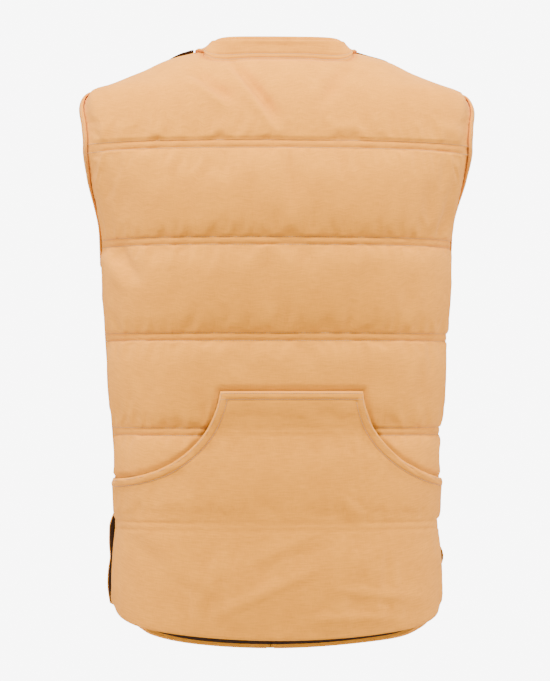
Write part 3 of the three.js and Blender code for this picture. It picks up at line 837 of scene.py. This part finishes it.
neck_turns = np.linspace(-1, 1, 241)
band_ups = np.linspace(-3 * MM, collar_height - collar_proud, 30)
collar = cloth_grid("collar_band", neck_turns, band_ups, collar_cloth)
thicken(collar, 1.6 * MM)
dress(collar, duck_canvas, "duck_canvas", "collar")
inner_ups = np.linspace(0.7 * MM, collar_height, 24)
facing = cloth_grid("collar_inside", neck_turns, inner_ups, collar_facing_cloth)
thicken(facing, 1.5 * MM)
dress(facing, duck_canvas, "duck_canvas", "collar_facing")
turns = np.linspace(-0.985, 0.985, 300)
sew("collar_stitches", [collar_points(turns, 0 * turns + up, band_out(turns, 0 * turns + up))
                        for up in collar_rows_up], pitch=edge_pitch)

# Armhole bindings: a strip of the duck folded over the raw edge of each armhole and stitched through
# near its inner edge, so that both faces of the panel are covered.

# Corners of the folded strip: out past the panel's edge, and up from its body side.
binding_section = MM * np.array([
    (0.7, 0.1),
    (0.7, 4.9),
    (-3.8, 5.3),
    (-4.6, 6.4),
    (-4.0, 7.7),
    (0.2, 7.7),
    (3.0, 6.9),
    (4.6, 5.2),
    (5.2, 2.6),
    (4.8, 0.1),
    (3.2, -1.1),
    (0.6, -1.3),
    (-2.5, -1.0),
    (-2.9, -0.6),
    (-2.6, -0.15),
    (0.7, 0.1),
])


def armhole_line(count):
    """Points round the right armhole, from the underarm up the back and down the front."""
    z = mix(armhole_bottom, armhole_top, 0.5 - 0.5 * np.cos(np.linspace(0, math.pi, count)))
    back = skin(BACK, edge_angle(BACK, z), z)
    front = skin(FRONT, edge_angle(FRONT, z[::-1]), z[::-1])
    point = np.concatenate([back[0], front[0][1:-1]])
    out = np.concatenate([back[1], front[1][1:-1]])
    along = np.roll(point, -1, axis=0) - np.roll(point, 1, axis=0)
    beyond = np.cross(along, out)
    beyond /= np.linalg.norm(beyond, axis=-1, keepdims=True)
    return point, out, beyond


def binding_lift(point):
    """The binding stands up a little at the tip of the shoulder."""
    return 0.8 * MM * smooth(point[:, 2], -72 * MM, -48 * MM)


def binding_at(station, corner, hand):
    point, out, beyond = (table[station] for table in armhole_edge)
    spread = binding_section[corner]
    point = point + out * binding_lift(point)[:, None]
    uneven = 0.25 * MM * ripple(station * 0.003, corner * 0.0, 0.012, 7.0)
    placed = point + beyond * (spread[:, :1] + uneven[:, None]) + out * spread[:, 1:]
    placed[:, 0] *= hand
    return placed


armhole_edge = armhole_line(110)
stations = np.append(np.arange(len(armhole_edge[0])), 0)
corners = np.arange(len(binding_section))
for side_name, hand in sides.items():
    order = stations if hand == RIGHT else stations[::-1]
    binding = cloth_grid(f"armhole_binding_{side_name}_tape", order, corners,
                         lambda station, corner: binding_at(station, corner, hand), closed=True)
    bm = bmesh.new()
    bm.from_mesh(binding.data)
    bmesh.ops.recalc_face_normals(bm, faces=bm.faces[:])
    bm.to_mesh(binding.data)
    bm.free()
    dress(binding, duck_canvas, "duck_canvas", f"armhole_binding_{side_name}")
    point, out, beyond = armhole_edge
    line = point - beyond * 2.2 * MM + out * (7.7 * MM + binding_lift(point)[:, None])
    line, out = line * (hand, 1, 1), out * (hand, 1, 1)
    round_row = np.append(line, line[:1], axis=0), np.append(out, out[:1], axis=0)
    sew(f"binding_stitches_{side_name}", [round_row], pitch=edge_pitch)

# Back pocket: one piece of the duck over the lower back, sewn down along its top edge, in the side seams
# and in the hem. Its two upper corners are cut away in a curve, hemmed and left open as mouths.

pocket_thick, pocket_hem = 1.6 * MM, 9 * MM
top_half, mouth_end = 78 * MM, 171 * MM
pocket_start = quilt_lines[-1] + row_gap / 2
pocket_creases = [
    (-62, -616, 40, -570, 11, 3.2),
    (40, -590, 140, -604, 9, 2.4),
    (30, -624, 124, -622, 8, 2.2),
    (-26, -560, 30, -536, 9, 1.6),
    (-120, -566, -64, -598, 11, 1.8),
    (-150, -520, -110, -560, 11, 1.4),
    (58, -486, 84, -512, 9, 1.8),
    (-84, -400, -110, -440, 7, 1.2),
]


def pocket_edge(x):
    """Level of the pocket's upper edge: straight in the middle, a round cut down each side."""
    away = np.abs(np.abs(x - pocket_aside) - mouth_x)
    cut = mouth_z - mouth_lower * (x > pocket_aside) - np.sqrt(np.clip(mouth_radius**2 - away**2, 0, None))
    return np.where(away > mouth_radius, pocket_top, np.minimum(pocket_top, cut))


def pocket_place(share, rise):
    """Rise runs from -1 at the hem to 0 at the lowest quilting and 1 at the pocket's upper edge."""
    low_angle, low_z = back_place(share, np.minimum(rise, 0))
    start = (pocket_start - hem_start) / (yoke_start - hem_start)
    angle, z = back_place(share, 0 * share + start)
    for step in range(4):
        x = form_at(HALF_WIDTH, z) * np.sin(angle)
        z = pocket_edge(x)
    eased = np.mean([pocket_edge(x + aside) for aside in np.linspace(-0.03, 0.03, 13)], axis=0)
    up = mix(hem_start, mix(eased, z, smooth(rise, 0.5, 1)), np.clip(rise, 0, 1))
    above = rise > 0
    return np.where(above, angle, low_angle), np.where(above, up, low_z)


def settled_back(angle, z):
    """Height of the settled back above its body side, read between the vertices of its grid."""
    below = (z - hem_start) / (hem_start - hem_at(BACK, angle))
    rise = np.where(z < hem_start, below, (z - hem_start) / (yoke_start - hem_start))
    slit = vent_slit[BACK] * (1 - smooth(z, vent_full, vent_top)) / form_at(BACK, z)
    share = angle / (edge_angle(BACK, z) - seam - slit)
    row = np.interp(rise, panel_rises, np.arange(len(panel_rises)))
    column = np.interp(share, back_columns, np.arange(len(back_columns)))
    i = np.minimum(row.astype(int), len(panel_rises) - 2)
    j = np.minimum(column.astype(int), len(back_columns) - 2)
    low = mix(back_settled[i, j], back_settled[i, j + 1], column - j)
    high = mix(back_settled[i + 1, j], back_settled[i + 1, j + 1], column - j)
    return mix(low, high, row - i)


def pocket_height(angle, z):
    """Body side of the pocket cloth: it bridges the quilting and lies on the padding."""
    x = form_at(HALF_WIDTH, z) * np.sin(angle)
    inside = side_fade(angle, z)
    lies_on = np.maximum(settled_back(angle, z), back_height(angle, z))
    bridged = mix(lies_on, mix(edge_thick, padded, inside), 0.62)
    raised = np.maximum(folds(pocket_creases, x, z), -1 * MM) * inside
    return np.maximum(lies_on, bridged + raised) + mix(-0.6, 0.9, inside) * MM


def mouth_stand(x, from_edge):
    """The open mouths stand off the back."""
    open_edge = smooth(np.abs(x - pocket_aside), 73 * MM, 85 * MM)
    return 2.6 * MM * open_edge * np.exp(-((from_edge / pocket_hem) ** 2))


def side_fade(angle, z):
    """1 over the back, 0 in the side seams."""
    edge = edge_angle(BACK, z)
    return 1 - smooth(np.abs(angle), edge - math.radians(24), edge - math.radians(6))


def pocket_outer(share, rise):
    angle, z = pocket_place(share, rise)
    x = form_at(HALF_WIDTH, z) * np.sin(angle)
    from_edge = from_pocket_edge(x, z)
    hem = 1 - smooth(from_edge, pocket_hem - 1.5 * MM, pocket_hem)
    dip = np.exp(-(((from_edge - pocket_hem) / (1.4 * MM)) ** 2))
    rolled = smooth(from_edge, -0.5 * MM, 1.6 * MM)
    gathers = 0.7 * np.exp(-((from_edge / pocket_hem) ** 2))
    gathers = gathers * ripple(x + 0.8 * z, 0.3 * from_edge, 0.005, 12.0)
    raised = mouth_stand(x, from_edge) * (1 + gathers) + (0.9 * hem * rolled - 0.5 * dip) * MM
    return pocket_height(angle, z) + pocket_thick + raised * side_fade(angle, z)


def pocket_cloth(share, rise):
    angle, z = pocket_place(share, rise)
    return lifted(BACK, angle, z, pocket_outer(share, rise))


# Columns of the pocket, closer together at the upper corners of the mouths.
even = np.linspace(-1, 1, 2001)
closer = 1 + 2 * sum(np.exp(-(((even - corner) / 0.09) ** 2)) for corner in (-0.27, 0.35))
closer = np.cumsum(closer) - closer[0]
pocket_columns = np.interp(np.linspace(0, closer[-1], 197), closer, even)
pocket_rises = np.concatenate([np.linspace(-1, 0, 46)[:-1], np.linspace(0, 0.8, 48)[:-1],
                               np.linspace(0.8, 1, 22)])
pocket = cloth_grid("pocket_back", pocket_columns, pocket_rises, pocket_cloth)
share_of, rise_of = (grid.ravel() for grid in np.meshgrid(pocket_columns, pocket_rises))
angle, z = pocket_place(share_of, rise_of)
x = form_at(HALF_WIDTH, z) * np.sin(angle)
from_edge = from_pocket_edge(x, z)
mark_relief(pocket, 0.55 + 0.5 * np.exp(-((from_edge / (1.2 * MM)) ** 2)))
at_top = smooth(z, pocket_top - 12 * MM, pocket_top - 9 * MM) * (np.abs(x - pocket_aside) < top_half)
at_sides = smooth(np.abs(share_of), 0.94, 0.985)
at_hem = smooth(-rise_of, 0.93, 0.98)
lightly_held = 0.12
sewn = np.maximum(np.maximum(at_top, at_sides), np.maximum(at_hem, lightly_held))
settle(pocket, sewn, skin(BACK, angle, z)[1], slack=0.004, press=0.3, cap=2.5 * MM,
       across=len(pocket_columns), soften=10)
thicken(pocket, pocket_thick)
dress(pocket, duck_canvas, "duck_canvas", "back_pocket")

straight = np.linspace(-75, 75, 120) * MM
mouth_turn = np.linspace(0, 1, 160)


def pocket_seam(x, z):
    angle = np.arcsin(np.clip(x / form_at(HALF_WIDTH, z), -1, 1))
    from_edge = from_pocket_edge(x, z)
    hem = 1 - smooth(from_edge, pocket_hem - 1.5 * MM, pocket_hem)
    raised = (mouth_stand(x, from_edge) + 0.9 * MM * hem) * side_fade(angle, z)
    return seam_on(BACK, angle, z, pocket_height(angle, z) + pocket_thick + raised)


pocket_seams = [pocket_seam(straight + pocket_aside, 0 * straight + pocket_top - row)
                for row in (2.2 * MM, pocket_hem)]
for hand in (LEFT, RIGHT):
    for inset in (2.0 * MM, pocket_hem):
        radius = mouth_radius + inset
        first = math.asin((mouth_z - pocket_top + inset) / radius)
        last = math.acos((mouth_x - mouth_end + hand * pocket_aside) / radius)
        turn = mix(first, last, mouth_turn)
        along = pocket_aside + hand * (mouth_x - radius * np.cos(turn))
        level = mouth_z - mouth_lower * (hand == RIGHT) - radius * np.sin(turn)
        pocket_seams.append(pocket_seam(along, level))
sew("pocket_stitches", pocket_seams, pitch=edge_pitch)

# Shoulder patches: dark brown brushed cloth laid over the upper fronts and stitched round its edges,
# inside the neck seam and the armhole binding.

patch_cloth = woven("patch_cloth", light=(0.05, 0.022, 0.01), dark=(0.026, 0.011, 0.005), pitch=0.7,
                    sheen=0.1, rough=0.9, relief_share=0.1)
patch_columns = np.linspace(0.005, 0.82, 45)
patch_rises = np.linspace(1.125, 1.95, 41)
patch_swell = {LEFT: (-0.05, 0.13, 5.5 * MM), RIGHT: (-0.05, 0.26, 4 * MM)}


def patch_lift(share, rise, hand):
    """The patch stands off the front beside the shoulder seam and shows over it from behind."""
    first, last, high = patch_swell[hand]
    swell = smooth(share, first - 0.05, first + 0.07) * (1 - smooth(share, last - 0.06, last + 0.1))
    return front_height(share, rise, hand) + 3.4 * MM + high * swell * smooth(rise, 1.55, 1.9)


for side_name, hand in sides.items():
    patch = front_grid(f"shoulder_patch_{side_name}_cloth", hand, patch_columns, patch_rises, patch_lift)
    thicken(patch, 1.4 * MM)
    dress(patch, patch_cloth, "patch_cloth", f"shoulder_patch_{side_name}")

# Vent facings: narrow dark strips that bind the front's edge in each side vent and turn out a little, so
# that they show beside the back.

vent_rises = np.linspace(-0.96, 0.07, 44)
for side_name, hand in sides.items():
    def place(depth, rise):
        angle, z = front_place(0 * rise + 1, rise, hand)
        point, out = skin(FRONT, hand * angle, z)
        placed = point + out * (depth * edge_thick)[:, None]
        placed[:, 1] -= 0.5 * MM
        return placed

    depths = handed(np.linspace(0, 1, 6), -hand)
    vent = cloth_grid(f"vent_facing_{side_name}_cloth", depths, vent_rises, place)
    thicken(vent, 1.2 * MM)
    dress(vent, lining_cloth, "lining_cloth", f"vent_facing_{side_name}")

# Front zip: the plain closing strip between the two fronts, sewn in behind their edges. It is a dark
# woven tape, a little raised along the middle where it closes.

zip_tape = woven("zip_tape", light=(0.085, 0.055, 0.03), dark=(0.05, 0.03, 0.016), pitch=0.6, sheen=0.05,
                 rough=0.55, relief_share=0)
zip_rises = np.linspace(-0.995, 1, 120)


def zip_cloth(share, rise):
    angle, z = front_place(0 * rise, rise, RIGHT)
    point = skin(FRONT, 0 * angle, z)[0]
    point[:, 0] = share * (zip_gap - 0.4 * MM)
    point[:, 1] += 3.4 * MM + 0.6 * MM * (np.abs(share) < 0.5)
    return point


zip_strip = cloth_grid("zip_strip", np.linspace(-1, 1, 9)[::-1], zip_rises, zip_cloth)
thicken(zip_strip, 2 * MM)
dress(zip_strip, zip_tape, "zip", "front_zip")

# Studio: a plain pale floor below the hanging vest and soft lights round it. The camera stands at the
# photograph's angle and is shifted so that the vest fills the picture as it does there.

floor_mesh = bpy.data.meshes.new("floor")
bm = bmesh.new()
bmesh.ops.create_circle(bm, cap_ends=True, segments=96, radius=1.25)
bmesh.ops.translate(bm, verts=bm.verts[:], vec=(0, 0, -1.0))
bm.to_mesh(floor_mesh)
bm.free()
floor = bpy.data.objects.new("floor", floor_mesh)
scene.collection.objects.link(floor)
floor_paint = bpy.data.materials.new("floor_paint")
floor_paint.use_nodes = True
floor_shader = floor_paint.node_tree.nodes["Principled BSDF"]
floor_shader.inputs["Base Color"].default_value = (0.86, 0.86, 0.85, 1)
floor_shader.inputs["Roughness"].default_value = 0.8
floor_mesh.materials.append(floor_paint)

world = bpy.data.worlds.new("studio")
world.use_nodes = True
scene.world = world
wall_bright, fill_light = 7.7, 0.3
backdrop = world.node_tree.nodes["Background"]
backdrop.inputs["Color"].default_value = (1, 1, 1, 1)
seen = Shade(world.node_tree).node("ShaderNodeLightPath", {}, {}, outlet=0)
world.node_tree.links.new((seen * wall_bright + fill_light).socket, backdrop.inputs["Strength"])


def softbox(name, place, aim, size, power):
    lamp = bpy.data.lights.new(name, "AREA")
    lamp.shape = "SQUARE"
    lamp.size = size
    lamp.energy = power
    holder = bpy.data.objects.new(name, lamp)
    holder.location = place
    holder.rotation_euler = (Vector(aim) - Vector(place)).to_track_quat("-Z", "Y").to_euler()
    scene.collection.objects.link(holder)


softbox("key", (-0.1, -0.9, 1.15), (0, 0, -0.2), 0.6, 66)
softbox("fill", (0.5, -2.7, 0.9), (0, 0, -0.3), 1.4, 20)
softbox("low", (0.1, -2.2, -0.9), (0, 0, -0.65), 0.8, 5)
softbox("left", (-1.8, -0.15, 0.35), (0, 0, -0.2), 0.9, 46)
softbox("right", (1.8, -0.15, 0.35), (0, 0, -0.2), 0.9, 46)
softbox("behind", (0.6, 2.6, 1.4), (0, 0, -0.3), 1.8, 60)

camera_far, view_height = 3.0, 0.776
picture_high, pixels_aside, pixels_up = 681, -1, 39.5
camera = bpy.data.cameras.new("camera")
camera.sensor_fit = "VERTICAL"
camera.sensor_height = 36
camera.lens = camera.sensor_height * camera_far / view_height
camera.shift_x = pixels_aside / picture_high
camera.shift_y = pixels_up / picture_high
viewer = bpy.data.objects.new("camera", camera)
viewer.location = (-0.157, -2.996, -0.362)
aim = Vector((0, 0, viewer.location.z))
viewer.rotation_euler = (aim - viewer.location).to_track_quat("-Z", "Y").to_euler()
scene.collection.objects.link(viewer)
scene.camera = viewer
